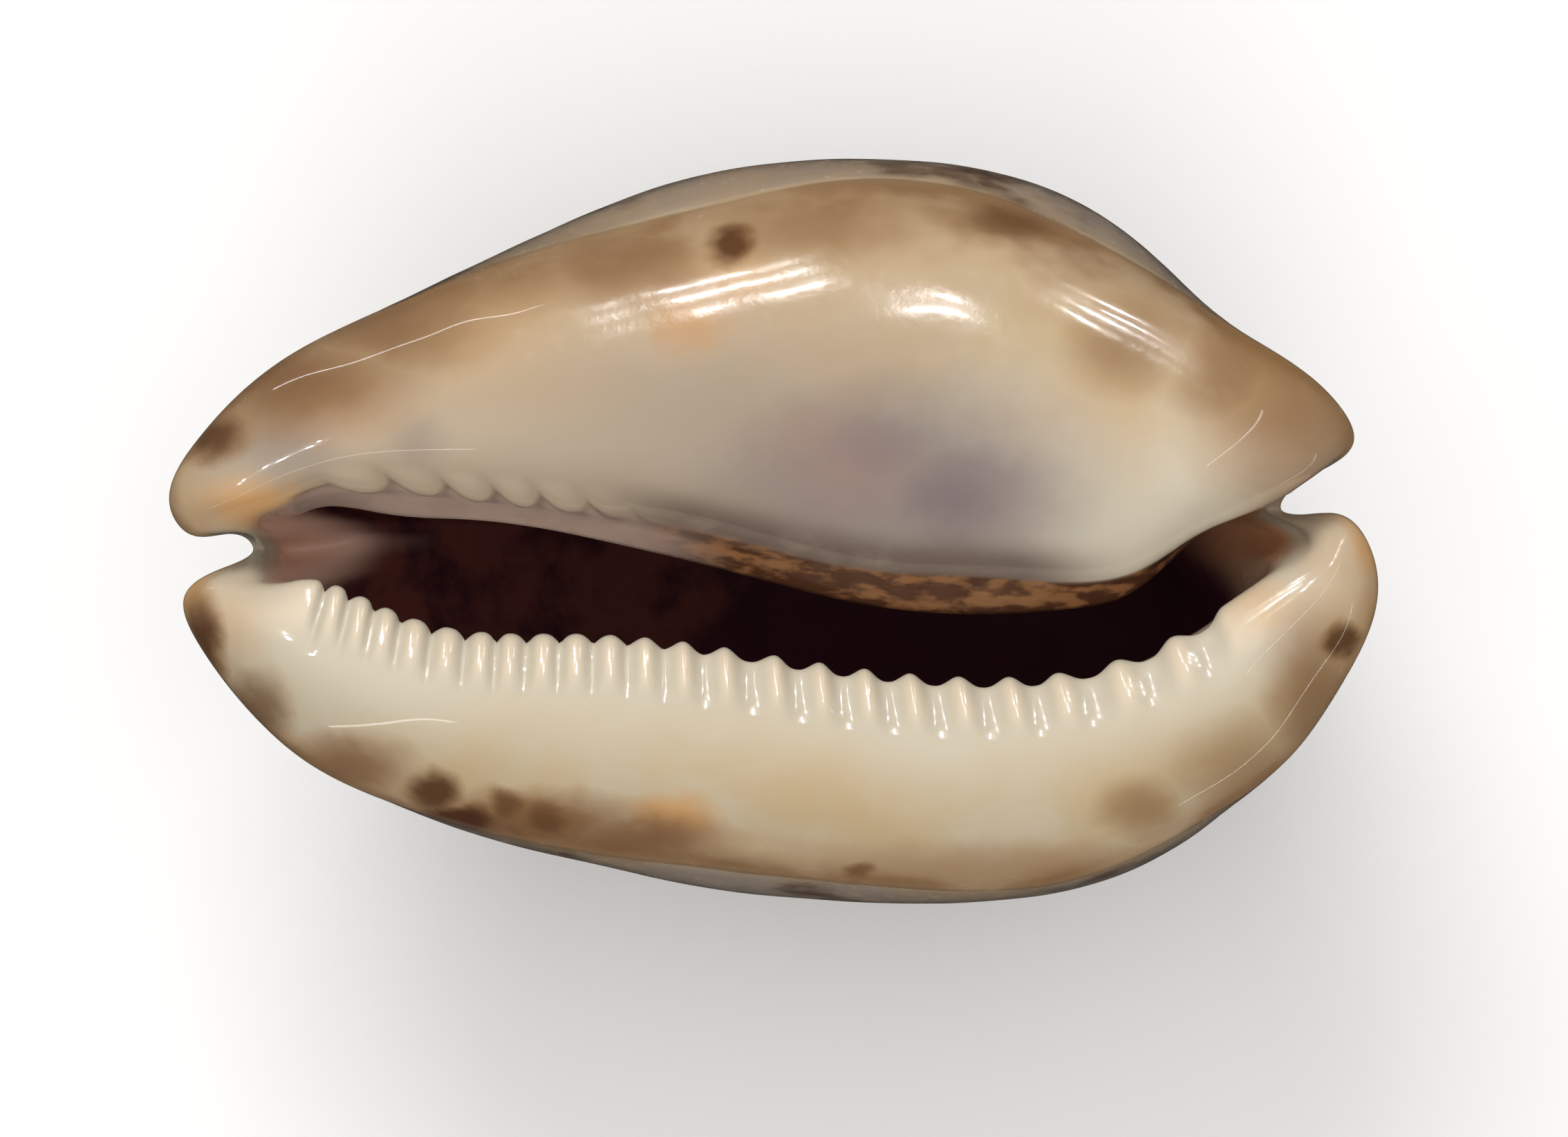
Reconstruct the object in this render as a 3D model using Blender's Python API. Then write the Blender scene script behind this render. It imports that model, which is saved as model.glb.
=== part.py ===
"""The shell of a Zoila venusta cowry: one hollow body with a long slit of a mouth, a notch at each end of
the slit, and teeth on both lips.

It lies on its back, as a collector turns it to show the mouth: the slit faces up (+Z), the pointed front
end is at -X, the broad rear end at +X, and the columella side at +Y. The origin is the middle of the small
flat spot that it rests on.

The skin is a net of columns and rings. Each column runs from the bottom of the hollow up the inner wall,
over the lip, across the base, round the margin and down the back to the flat spot. The columns stand side
by side all the way round the mouth.
"""

import bmesh
import bpy
import numpy as np

MM = 0.001

# Driving dimensions, in millimetres. X and Y are measured from the middle of the base, and depths down from
# its highest point.
HEIGHT = 37.0
REST_CENTRE = np.array([2.5, 0.3])
REST_SHARE = 0.2
WALL = 2.6
FLOOR_WALL = 2.6

# How deep the body's widest outline lies at its sides, and how much higher it is at the front and rear.
BULGE_DEPTH = 16.0
FRONT_RISE, REAR_RISE = 3.0, 1.5
# The back is half an ellipse from side to side. It is drawn out at the ends, the front more than the rear.
FRONT_TAPER, REAR_TAPER = 0.8, 0.25

# Inside the mouth, the skin falls down the lip's face, and then turns out to the throat and the hollow.
LIP_FACE = 4.0
THROAT_DEPTH = 9.2
THROAT_SHARE = 0.45
MOUTH_MIDDLE = np.array([0.0, -1.5])
# Towards each notch the lip edge sinks from the first of these depths to the second, and becomes a canal
# with a thicker wall, a lower face and a floor that slopes down into the hollow.
CANAL_FROM, CANAL_TO = 3.8, 6.5
CANAL_WALL = 5.6
CANAL_FACE = 2.8
CANAL_FLOOR = 0.6
CANAL_SLOPE = 0.8

# Each set of teeth has a profile along the skin from the lip edge, up the base: where it starts, is full,
# begins to fade and ends.
LIP_TOOTH_HEIGHT = 0.75
LIP_TOOTH_RUN = (-4.5, -1.5, 1.6, 4.2)
COLUMELLA_GROOVE_DEPTH = 0.8
COLUMELLA_GROOVE_RUN = (-2.6, -1.0, 0.4, 2.6)
COLUMELLA_GROOVE_SLANT = 0.5

SPIRE_PLACE = np.array([25.5, 5.0, 11.0])
SPIRE_RADIUS = 5.5
SPIRE_HEIGHT = 0.9

# Landmarks round the mouth, from the front notch by way of the outer lip to the rear notch, and back along
# the columella. Each row is one column: the lip edge (x, y, depth), the margin (x, y, depth), the depth of
# the highest point between them, and how far the face under the lip edge leans into the mouth.
LANDMARKS = [
    (-29.6, -1.1, 11.5, -30.4, -0.8, 12.0, 11.2, 1.0),
    (-29.7, -2.3, 8.0, -31.4, -2.0, 9.0, 7.4, 1.0),
    (-29.7, -3.0, 5.4, -34.2, -4.1, 7.5, 4.6, 0.7),
    (-28.6, -3.1, 4.5, -32.9, -7.2, 8.5, 3.4, 0.1),
    (-26.4, -2.9, 4.0, -29.2, -11.7, 9.0, 2.5, -0.5),
    (-22.3, -4.5, 4.0, -24.4, -14.9, 9.2, 1.9, -0.7),
    (-17.7, -5.8, 4.0, -18.6, -17.0, 9.3, 1.8, -0.7),
    (-11.0, -6.0, 4.0, -11.3, -18.6, 9.3, 1.8, -0.7),
    (-4.0, -6.6, 4.0, -3.6, -19.6, 9.3, 1.8, -0.7),
    (3.0, -7.7, 4.0, 4.0, -20.4, 9.2, 1.8, -0.7),
    (9.5, -8.4, 4.0, 11.4, -20.9, 9.0, 1.8, -0.7),
    (16.0, -8.3, 4.0, 18.7, -19.9, 8.8, 1.8, -0.7),
    (21.5, -6.9, 4.0, 24.8, -16.9, 8.6, 2.0, -0.6),
    (25.7, -4.6, 4.3, 29.8, -13.3, 8.3, 2.4, -0.4),
    (28.6, -2.7, 5.0, 33.3, -8.3, 7.8, 3.3, 0.2),
    (30.6, -1.4, 6.0, 35.0, -2.6, 7.2, 4.6, 1.8),
    (30.9, -0.5, 7.5, 33.6, 0.5, 7.8, 6.3, 1.5),
    (30.0, 0.4, 9.5, 31.2, 0.9, 9.9, 8.9, 1.8),
    (28.6, 1.2, 11.5, 29.6, 1.2, 12.0, 11.2, 1.5),
    (29.5, 2.0, 8.6, 30.9, 3.1, 9.2, 8.1, 1.6),
    (29.6, 2.0, 5.6, 33.6, 5.2, 7.3, 4.2, 1.6),
    (27.6, 1.1, 3.9, 31.8, 8.3, 7.6, 2.2, 0.15),
    (24.6, -0.1, 2.9, 27.4, 11.4, 8.2, 0.8, 0.3),
    (21.3, -1.9, 2.6, 22.3, 14.7, 8.8, 0.3, 1.5),
    (17.5, -2.6, 2.6, 16.5, 17.8, 9.2, 0.1, 2.0),
    (12.0, -2.2, 2.6, 10.5, 19.9, 9.3, 0.1, 2.8),
    (6.0, -1.9, 2.6, 4.0, 20.3, 9.3, 0.1, 2.7),
    (0.0, -0.7, 2.6, -3.0, 19.0, 9.3, 0.1, 2.6),
    (-6.0, 0.7, 2.6, -10.0, 17.3, 9.2, 0.2, 2.5),
    (-12.5, 1.6, 2.6, -16.5, 15.4, 9.0, 0.4, 2.1),
    (-18.5, 2.3, 2.7, -23.0, 12.7, 8.7, 0.8, 2.1),
    (-24.0, 2.6, 3.0, -28.9, 9.6, 8.3, 1.6, 2.2),
    (-27.6, 1.8, 3.7, -32.9, 5.8, 7.8, 2.7, 1.1),
    (-29.8, 0.9, 4.8, -35.0, 1.6, 7.2, 4.0, 1.1),
    (-30.1, 0.4, 6.2, -34.0, -0.1, 8.0, 5.6, 0.6),
    (-30.1, -0.2, 8.2, -31.9, -0.1, 9.2, 7.6, 1.0),
]
# The landmarks between which each lip carries its teeth, with the places where they fade in and out.
LIP_TEETH_SPAN = (3.0, 4.0, 13.0, 14.0)
GROOVES_SPAN = (28.0, 29.5, 31.4, 32.0)

# The widest outline of the body, half-way down its sides, under the two lobes at each end.
BODY = [
    (-30.1, -0.8), (-29.6, -5.0), (-27.0, -10.8), (-20.9, -16.2), (-12.8, -19.0), (-4.8, -20.8),
    (3.3, -21.7), (11.3, -21.8), (17.8, -20.9), (24.3, -18.0), (28.6, -13.0), (30.2, -7.5), (29.6, -2.5),
    (29.0, 1.6), (28.8, 5.6), (27.0, 10.4), (23.4, 15.1), (19.4, 18.4), (15.3, 20.4), (7.3, 21.8),
    (-0.8, 21.5), (-8.8, 19.5), (-16.9, 15.8), (-25.0, 10.6), (-29.0, 5.5), (-30.0, 2.0),
]

# The middle of each tooth of the outer lip along X, and of each groove between the columella's teeth.
LIP_TEETH = [
    -26.5, -25.1, -23.6, -22.2, -20.55, -18.7, -16.8, -15.2, -13.3, -11.4, -9.4, -7.4,
    -5.2, -2.8, 0.1, 2.7, 5.3, 7.9, 10.7, 13.6, 16.4, 19.8, 23.0, 26.0,
]
COLUMELLA_GROOVES = [-25.4, -22.0, -18.8, -16.0, -13.4, -10.7, -8.1, -5.6, -3.2]

# The rings that the net is drawn through, from the floor of the hollow to the flat spot: the name of each,
# how many rows lie between it and the one before, and which columns it keeps (1 for all of them, 4 for each
# fourth).
RINGS = [
    ("floor", 0, 4),
    ("floor bend", 1, 4),
    ("low wall", 1, 4),
    ("wall", 1, 4),
    ("widest hollow", 1, 4),
    ("throat", 2, 2),
    ("under the lip", 1, 1),
    ("lip face", 1, 1),
    ("lip edge", 1, 1),
    ("tooth tops", 2, 1),
    ("tooth ends", 2, 1),
    ("mid base", 1, 2),
    ("outer base", 1, 2),
    ("margin", 1, 2),
    ("bulge", 2, 2),
    ("high back", 2, 4),
    ("mid back", 2, 4),
    ("low back", 2, 4),
    ("rest spot", 2, 4),
]
LIP_EDGE = [name for name, rows, keep in RINGS].index("lip edge")
COLUMNS = 288


def curve_through(knots, values, at):
    """A smooth curve through the values at the knots, with no jump in its bend, read at the given places."""
    step = np.diff(knots)
    slope = np.diff(values, axis=0) / step[:, None]
    system = np.eye(len(knots))
    pull = np.zeros_like(values)
    for i in range(1, len(knots) - 1):
        system[i, i - 1 : i + 2] = step[i - 1], 2 * (step[i - 1] + step[i]), step[i]
        pull[i] = 6 * (slope[i] - slope[i - 1])
    bend = np.linalg.solve(system, pull)
    i = np.clip(np.searchsorted(knots, at, side="right") - 1, 0, len(step) - 1)
    ahead = ((at - knots[i]) / step[i])[:, None]
    behind = 1 - ahead
    straight = behind * values[i] + ahead * values[i + 1]
    bent = (behind**3 - behind) * bend[i] + (ahead**3 - ahead) * bend[i + 1]
    return straight + bent * (step[i] ** 2)[:, None] / 6


def closed_curve(knots, length, values, at):
    """curve_through for a curve that comes back to its start after the given length."""
    wrap = 6
    around = np.vstack([values[-wrap:], values, values[:wrap]])
    places = np.concatenate([knots[-wrap:] - length, knots, knots[:wrap] + length])
    return curve_through(places, around, at)


def fade(value, start, end):
    """0 at the start and 1 at the end, with a soft beginning and end."""
    share = np.clip((value - start) / (end - start), 0, 1)
    return share * share * (3 - 2 * share)


def plateau(value, start, full, fading, end):
    """Rises softly from 0 at the start to 1 where it is full, and falls to 0 again from fading to the end."""
    return fade(value, start, full) * fade(value, end, fading)


def mix(first, second, share):
    return first + (second - first) * share


def lengths(vectors):
    return np.linalg.norm(vectors, axis=1)[:, None]


def steps_round(points):
    return lengths(np.roll(points, -1, axis=0) - points)[:, 0]


def landmark_columns(count):
    """The landmarks read at evenly spaced columns, and each column's place in their list."""
    table = np.array(LANDMARKS)
    step = mix(steps_round(table[:, 0:3]), steps_round(table[:, 3:6]), 0.35)
    ends = np.concatenate([[0.0], np.cumsum(step)])
    at = np.arange(count) * ends[-1] / count
    return closed_curve(ends[:-1], ends[-1], table, at), np.interp(at, ends, np.arange(len(ends)))


def softened(values, share):
    """The values averaged with their neighbours', within about the given share of all the columns."""
    count = len(values)
    reach = np.arange(-count // 2, count // 2)
    weight = np.exp(-0.5 * (reach / (share * count)) ** 2)
    around = (np.arange(count)[:, None] + reach) % count
    return np.einsum("ij...,j->i...", values[around], weight / weight.sum())


def even_angles(arms):
    """The angle of each column's arm, spread out evenly where the margin turns back into a notch."""
    steady = np.linspace(0, 2 * np.pi, len(arms), endpoint=False)
    return steady + softened(np.unwrap(np.arctan2(arms[:, 1], arms[:, 0])) - steady, 0.012)


def body_outline(angle):
    """The body's outline at each angle about the rest spot."""
    around = np.array(BODY) - REST_CENTRE
    at = np.unwrap(np.arctan2(around[:, 1], around[:, 0]))
    turn = 2 * np.pi
    radius = closed_curve(at, turn, lengths(around), at[0] + (angle - at[0]) % turn)
    return REST_CENTRE + radius * np.column_stack([np.cos(angle), np.sin(angle)])


def at_depth(flat, depth):
    return np.column_stack([flat, HEIGHT - depth + np.zeros((len(flat), 1))])


def ends_share(angle, front, rear):
    """A value that is 0 at the sides and grows to the front's or the rear's towards that end."""
    return np.where(np.cos(angle) < 0, front, rear) * np.cos(angle) ** 4


def domed(outline, angle, drop, bottom, share, turn):
    """A ring of a dome that hangs from the outline. At turn 1 the ring has shrunk to the given share."""
    last = np.arccos(share)
    flat = REST_CENTRE + (outline - REST_CENTRE) * np.cos(turn * last)
    top = HEIGHT - BULGE_DEPTH - drop + ends_share(angle, FRONT_RISE, REAR_RISE)
    taper = 1 + ends_share(angle, FRONT_TAPER, REAR_TAPER)
    height = bottom + (top - bottom) * (1 - (np.sin(turn * last) / np.sin(last)) ** taper)
    return np.column_stack([flat, height])


def key_rings(columns):
    """The rings named in RINGS, as (ring, column, xyz)."""
    lip, lip_depth, margin, margin_depth, crest, lean = np.split(columns, [2, 3, 5, 6, 7], axis=1)
    across = margin - lip
    canal = fade(lip_depth, CANAL_FROM, CANAL_TO)
    along_canal = (MOUTH_MIDDLE - lip) / lengths(MOUTH_MIDDLE - lip)
    inward = mix(-across / lengths(across), along_canal, canal)
    inward /= lengths(inward)

    angle = even_angles(margin - REST_CENTRE)
    body = body_outline(angle)
    outward = body - REST_CENTRE
    hollow = body - outward / lengths(outward) * mix(WALL, CANAL_WALL, canal)
    drop = mix(1.0, 3.0, canal[:, 0])
    hollow_rings = [domed(hollow, angle, drop, FLOOR_WALL, 0.0, turn) for turn in (1, 0.75, 0.5, 0.25, 0)]

    face = mix(LIP_FACE, CANAL_FACE, canal)
    under_lip = at_depth(lip + inward * lean, lip_depth + face)
    to_hollow = hollow_rings[-1][:, 0:2] - under_lip[:, 0:2]
    throat_flat = under_lip[:, 0:2] + mix(THROAT_SHARE * to_hollow, CANAL_FLOOR * inward, canal)
    throat_depth = THROAT_DEPTH + CANAL_SLOPE * np.maximum(lip_depth - CANAL_FROM, 0.0)

    def base(share, fall, rise):
        """A ring on the base, this share of the way out. It falls to the lip and dips to the margin."""
        depth = crest + fall * (lip_depth - crest) + rise * (margin_depth - crest)
        return at_depth(lip + across * share, depth)

    return np.array([
        *hollow_rings,
        softened(at_depth(throat_flat, throat_depth), 0.007),
        under_lip,
        at_depth(lip + inward * lean * 0.5, lip_depth + face * 0.475),
        at_depth(lip, lip_depth),
        base(0.12, 0.35, 0.0),
        base(0.33, 0.0, 0.0),
        base(0.62, 0.0, 0.12),
        base(0.86, 0.0, 0.45),
        at_depth(margin, margin_depth),
        *(domed(body, angle, 0.0, 0.0, REST_SHARE, turn) for turn in (0, 0.25, 0.5, 0.75, 1)),
    ])


def net_through(keys, rows_between):
    """The net as (row, column, xyz): a smooth curve down each column, with the given rows up to each ring."""
    reading = [0.0]
    for key, rows in enumerate(rows_between[1:]):
        reading += [key + (row + 1) / rows for row in range(rows)]
    net = np.empty((len(reading), keys.shape[1], 3))
    for column in range(keys.shape[1]):
        track = keys[:, column]
        step = lengths(np.diff(track, axis=0))[:, 0] + 0.05
        knots = np.concatenate([[0.0], np.cumsum(step)])
        net[:, column] = curve_through(knots, track, np.interp(reading, np.arange(len(keys)), knots))
    return net


def outward_normals(net):
    along = np.gradient(net, axis=0)
    around = (np.roll(net, -1, axis=1) - np.roll(net, 1, axis=1)) / 2
    normal = np.cross(along, around)
    return normal / (np.linalg.norm(normal, axis=2, keepdims=True) + 1e-9)


def wave(position, middles):
    """1 at each of the middles and 0 half-way between two."""
    phase = np.interp(position, middles, np.arange(len(middles)))
    return 0.5 + 0.5 * np.cos(2 * np.pi * phase)


def teeth(net, lip_x, place, lip_row):
    """How far each point moves out for the teeth. The rear teeth are narrower than the gaps between them."""
    step = np.linalg.norm(np.diff(net, axis=0), axis=2)
    run = np.vstack([np.zeros(net.shape[1]), np.cumsum(step, axis=0)])
    run = run - run[lip_row]
    ridge = wave(lip_x, LIP_TEETH) ** mix(0.7, 1.5, fade(lip_x, -20, 5)) - 0.5
    relief = LIP_TOOTH_HEIGHT * ridge * plateau(place, *LIP_TEETH_SPAN) * plateau(run, *LIP_TOOTH_RUN)
    groove = 0.35 - wave(lip_x + COLUMELLA_GROOVE_SLANT * run, COLUMELLA_GROOVES) ** 2
    groove *= plateau(place, *GROOVES_SPAN) * plateau(run, *COLUMELLA_GROOVE_RUN)
    return relief + COLUMELLA_GROOVE_DEPTH * groove


def spire(net):
    """The low bump over the hidden spire, at the rear of the back."""
    distance = np.linalg.norm(net - SPIRE_PLACE, axis=2)
    return SPIRE_HEIGHT * fade(distance, SPIRE_RADIUS, 0)


def bridge(bm, low, high):
    """Faces between two closed rows of points. One may have twice the other's points, or be one point."""
    if len(low) > len(high):
        low, high = high, low
    several = len(high) // len(low)
    for i, start in enumerate(low):
        end = low[(i + 1) % len(low)]
        if len(low) == 1:
            for j, point in enumerate(high):
                bm.faces.new((start, point, high[(j + 1) % len(high)]))
        elif several == 1:
            bm.faces.new((start, high[i], high[(i + 1) % len(high)], end))
        else:
            first, middle, last = (high[(2 * i + j) % len(high)] for j in range(3))
            bm.faces.new((start, first, middle))
            bm.faces.new((start, middle, end))
            bm.faces.new((end, middle, last))


def shell_net(count):
    """The whole net with its teeth and its spire, and the columns that each of its rows keeps."""
    names, rows_between, keeps = zip(*RINGS)
    columns, place = landmark_columns(count)
    net = net_through(key_rings(columns), rows_between)
    out = teeth(net, columns[:, 0], place, sum(rows_between[: LIP_EDGE + 1]))
    back = sum(rows_between[: names.index("bulge") + 1])
    out[back:-1] += spire(net[back:-1])
    out[-1] = 0
    kept = [keep for rows, keep in zip(rows_between, keeps) for row in range(max(rows, 1))]
    return net + outward_normals(net) * out[..., None], kept


def shell_mesh():
    net, kept = shell_net(COLUMNS)
    net = (net - [*REST_CENTRE, 0]) * MM
    bm = bmesh.new()
    rows = [[bm.verts.new(net[0, 0])]]
    rows += [[bm.verts.new(point) for point in ring[::keep]] for ring, keep in zip(net[1:], kept[1:])]
    rows += [[bm.verts.new((0, 0, 0))]]
    for low, high in zip(rows, rows[1:]):
        bridge(bm, low, high)
    bmesh.ops.recalc_face_normals(bm, faces=bm.faces)
    mesh = bpy.data.meshes.new("shell")
    bm.to_mesh(mesh)
    bm.free()
    return mesh


def porcelain():
    """The glossy cream enamel."""
    material = bpy.data.materials.new("porcelain")
    material.use_nodes = True
    shader = material.node_tree.nodes["Principled BSDF"]
    shader.inputs["Base Color"].default_value = (0.72, 0.58, 0.40, 1)
    shader.inputs["Roughness"].default_value = 0.12
    shader.inputs["Metallic"].default_value = 0
    return material


def main():
    for thing in list(bpy.data.objects):
        bpy.data.objects.remove(thing)
    mesh = shell_mesh()
    mesh.materials.append(porcelain())
    mesh.shade_smooth()
    mesh.set_sharp_from_angle(angle=np.radians(50))
    bpy.context.scene.collection.objects.link(bpy.data.objects.new("shell", mesh))


main()
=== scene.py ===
# %% [markdown]
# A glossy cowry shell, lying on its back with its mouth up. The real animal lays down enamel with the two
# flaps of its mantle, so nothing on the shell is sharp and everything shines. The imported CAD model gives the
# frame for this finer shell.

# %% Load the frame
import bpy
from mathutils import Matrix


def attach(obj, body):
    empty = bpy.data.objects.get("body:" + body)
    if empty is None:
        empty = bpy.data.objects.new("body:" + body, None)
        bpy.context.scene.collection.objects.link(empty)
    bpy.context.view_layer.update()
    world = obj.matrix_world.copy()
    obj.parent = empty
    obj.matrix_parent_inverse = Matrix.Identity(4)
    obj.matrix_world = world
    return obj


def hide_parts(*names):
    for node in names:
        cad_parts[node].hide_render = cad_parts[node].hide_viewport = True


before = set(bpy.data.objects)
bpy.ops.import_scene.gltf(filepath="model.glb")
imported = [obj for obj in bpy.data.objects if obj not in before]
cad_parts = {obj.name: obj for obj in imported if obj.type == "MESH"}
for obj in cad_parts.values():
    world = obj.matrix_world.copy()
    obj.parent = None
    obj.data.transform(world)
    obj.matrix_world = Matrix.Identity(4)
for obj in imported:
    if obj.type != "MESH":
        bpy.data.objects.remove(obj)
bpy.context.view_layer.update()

# %% [markdown]
# All sizes are written in millimetres, as a collector would measure them, and become metres at the end. X
# and Y start in the middle of the base, which is the face with the mouth. Depths go down from its highest
# point.

import bmesh
import bpy
import numpy as np
from mathutils import Matrix, Vector
from mathutils.bvhtree import BVHTree
from mathutils.geometry import intersect_line_sphere
from mathutils.interpolate import poly_3d_calc

MM = 0.001
HEIGHT = 37.0
REST_CENTRE = np.array([2.5, 0.3])
REST_SHARE = 0.2
WALL = 2.6
FLOOR_WALL = 2.6

# How deep the body's widest outline lies at its sides, and how much higher it is at the front and rear.
BULGE_DEPTH = 16.0
FRONT_RISE, REAR_RISE = 3.0, 1.5
# The back is half an ellipse from side to side. It is drawn out at the ends, the front more than the rear.
FRONT_TAPER, REAR_TAPER = 0.8, 0.25

# Inside the mouth, the skin falls down the lip's face, and then turns out to the throat and the hollow.
LIP_FACE = 4.0
THROAT_DEPTH = 9.2
THROAT_SHARE = 0.45
MOUTH_MIDDLE = np.array([0.0, -1.5])
# Towards each notch the lip edge sinks from the first of these depths to the second, and becomes a canal
# with a thicker wall, a lower face and a floor that slopes down into the hollow.
CANAL_FROM, CANAL_TO = 3.8, 6.5
CANAL_WALL = 5.6
CANAL_FACE = 2.8
CANAL_FLOOR = 0.6
CANAL_SLOPE = 0.8

SPIRE_PLACE = np.array([25.5, 5.0, 11.0])
SPIRE_RADIUS = 5.5
SPIRE_HEIGHT = 0.9
print("height of the shell: %.1f mm" % HEIGHT)

# %% [markdown]
# The base of a cowry has no straight edge, so it is described by landmarks: at 36 places round the mouth,
# where the lip's edge is, where the outer margin is, and how high the shell bulges between them.

# %% Landmarks round the mouth
# They go from the front notch by way of the outer lip to the rear notch, and back along the columella. Each
# row is one place: the lip edge (x, y, depth), the margin (x, y, depth), the depth of the highest point
# between them, and how far the face under the lip edge leans into the mouth.
LANDMARKS = [
    (-29.6, -1.1, 11.5, -30.4, -0.8, 12.0, 11.2, 1.0),
    (-29.7, -2.3, 8.0, -31.4, -2.0, 9.0, 7.4, 1.0),
    (-29.7, -3.0, 5.4, -34.2, -4.1, 7.5, 4.6, 0.7),
    (-28.6, -3.1, 4.5, -32.9, -7.2, 8.5, 3.4, 0.1),
    (-26.4, -2.9, 4.0, -29.2, -11.7, 9.0, 2.5, -0.5),
    (-22.3, -4.5, 4.0, -24.4, -14.9, 9.2, 1.9, -0.7),
    (-17.7, -5.8, 4.0, -18.6, -17.0, 9.3, 1.8, -0.7),
    (-11.0, -6.0, 4.0, -11.3, -18.6, 9.3, 1.8, -0.7),
    (-4.0, -6.6, 4.0, -3.6, -19.6, 9.3, 1.8, -0.7),
    (3.0, -7.7, 4.0, 4.0, -20.4, 9.2, 1.8, -0.7),
    (9.5, -8.4, 4.0, 11.4, -20.9, 9.0, 1.8, -0.7),
    (16.0, -8.3, 4.0, 18.7, -19.9, 8.8, 1.8, -0.7),
    (21.5, -6.9, 4.0, 24.8, -16.9, 8.6, 2.0, -0.6),
    (25.7, -4.6, 4.3, 29.8, -13.3, 8.3, 2.4, -0.4),
    (28.6, -2.7, 5.0, 33.3, -8.3, 7.8, 3.3, 0.2),
    (30.6, -1.4, 6.0, 35.0, -2.6, 7.2, 4.6, 1.8),
    (30.9, -0.5, 7.5, 33.6, 0.5, 7.8, 6.3, 1.5),
    (30.0, 0.4, 9.5, 31.2, 0.9, 9.9, 8.9, 1.8),
    (28.6, 1.2, 11.5, 29.6, 1.2, 12.0, 11.2, 1.5),
    (29.5, 2.0, 8.6, 30.9, 3.1, 9.2, 8.1, 1.6),
    (29.6, 2.0, 5.6, 33.6, 5.2, 7.3, 4.2, 1.6),
    (27.6, 1.1, 3.9, 31.8, 8.3, 7.6, 2.2, 0.15),
    (24.6, -0.1, 2.9, 27.4, 11.4, 8.2, 0.8, 0.3),
    (21.3, -1.9, 2.6, 22.3, 14.7, 8.8, 0.3, 1.5),
    (17.5, -2.6, 2.6, 16.5, 17.8, 9.2, 0.1, 2.0),
    (12.0, -2.2, 2.6, 10.5, 19.9, 9.3, 0.1, 2.8),
    (6.0, -1.9, 2.6, 4.0, 20.3, 9.3, 0.1, 2.7),
    (0.0, -0.7, 2.6, -3.0, 19.0, 9.3, 0.1, 2.6),
    (-6.0, 0.7, 2.6, -10.0, 17.3, 9.2, 0.2, 2.5),
    (-12.5, 1.6, 2.6, -16.5, 15.4, 9.0, 0.4, 2.1),
    (-18.5, 2.3, 2.7, -23.0, 12.7, 8.7, 0.8, 2.1),
    (-24.0, 2.6, 3.0, -28.9, 9.6, 8.3, 1.6, 2.2),
    (-27.6, 1.8, 3.7, -32.9, 5.8, 7.8, 2.7, 1.1),
    (-29.8, 0.9, 4.8, -35.0, 1.6, 7.2, 4.0, 1.1),
    (-30.1, 0.4, 6.2, -34.0, -0.1, 8.0, 5.6, 0.6),
    (-30.1, -0.2, 8.2, -31.9, -0.1, 9.2, 7.6, 1.0),
]
print("landmarks round the mouth:", len(LANDMARKS))

# %% The body's outline and the rows of teeth
# The widest outline of the body, half-way down its sides, under the two lobes at each end.
BODY = [
    (-30.1, -0.8), (-29.6, -5.0), (-27.0, -10.8), (-20.9, -16.2), (-12.8, -19.0), (-4.8, -20.8),
    (3.3, -21.7), (11.3, -21.8), (17.8, -20.9), (24.3, -18.0), (28.6, -13.0), (30.2, -7.5), (29.6, -2.5),
    (29.0, 1.6), (28.8, 5.6), (27.0, 10.4), (23.4, 15.1), (19.4, 18.4), (15.3, 20.4), (7.3, 21.8),
    (-0.8, 21.5), (-8.8, 19.5), (-16.9, 15.8), (-25.0, 10.6), (-29.0, 5.5), (-30.0, 2.0),
]

# The middle of each tooth of the outer lip along X, and of each groove between the columella's teeth.
LIP_TEETH = [
    -26.5, -25.1, -23.6, -22.2, -20.55, -18.7, -16.8, -15.2, -13.3, -11.4, -9.4, -7.4,
    -5.2, -2.8, 0.1, 2.7, 5.3, 7.9, 10.7, 13.6, 16.4, 19.8, 23.0, 26.0,
]
COLUMELLA_GROOVES = [-25.4, -22.0, -18.8, -16.0, -13.4, -10.7, -8.1, -5.6, -3.2]
print("teeth on the outer lip:", len(LIP_TEETH))

# %% [markdown]
# A smooth shell could be sculpted, or cut from a subdivided box. Here it is woven as a net instead: each
# column starts at the bottom of the hollow, climbs the inner wall, rolls over the lip and runs round to the
# back. The rings below say how finely the net is woven in each stretch. The lips get the most rows, because
# the teeth are there.

# %% The rings of the net
# Each ring: its name, the rows of points up to it from the ring before, and which columns these rows keep:
# every one, or each second or fourth.
RINGS = [
    ("floor", 0, 4),
    ("floor bend", 2, 4),
    ("low wall", 2, 2),
    ("wall", 2, 2),
    ("widest hollow", 3, 2),
    ("throat", 6, 2),
    ("under the lip", 5, 1),
    ("lip face", 6, 1),
    ("lip edge", 7, 1),
    ("tooth tops", 8, 1),
    ("tooth ends", 11, 1),
    ("mid base", 9, 1),
    ("outer base", 8, 1),
    ("margin", 7, 1),
    ("bulge", 7, 1),
    ("high back", 8, 2),
    ("mid back", 9, 2),
    ("low back", 9, 2),
    ("rest spot", 6, 4),
]
RING_NAMES, ROWS_BETWEEN, KEEPS = zip(*RINGS)
COLUMNS = 864
print("rows in the net:", 1 + sum(ROWS_BETWEEN))


def row_of(name):
    """The net's row at a named ring."""
    return sum(ROWS_BETWEEN[: RING_NAMES.index(name) + 1])

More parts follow.
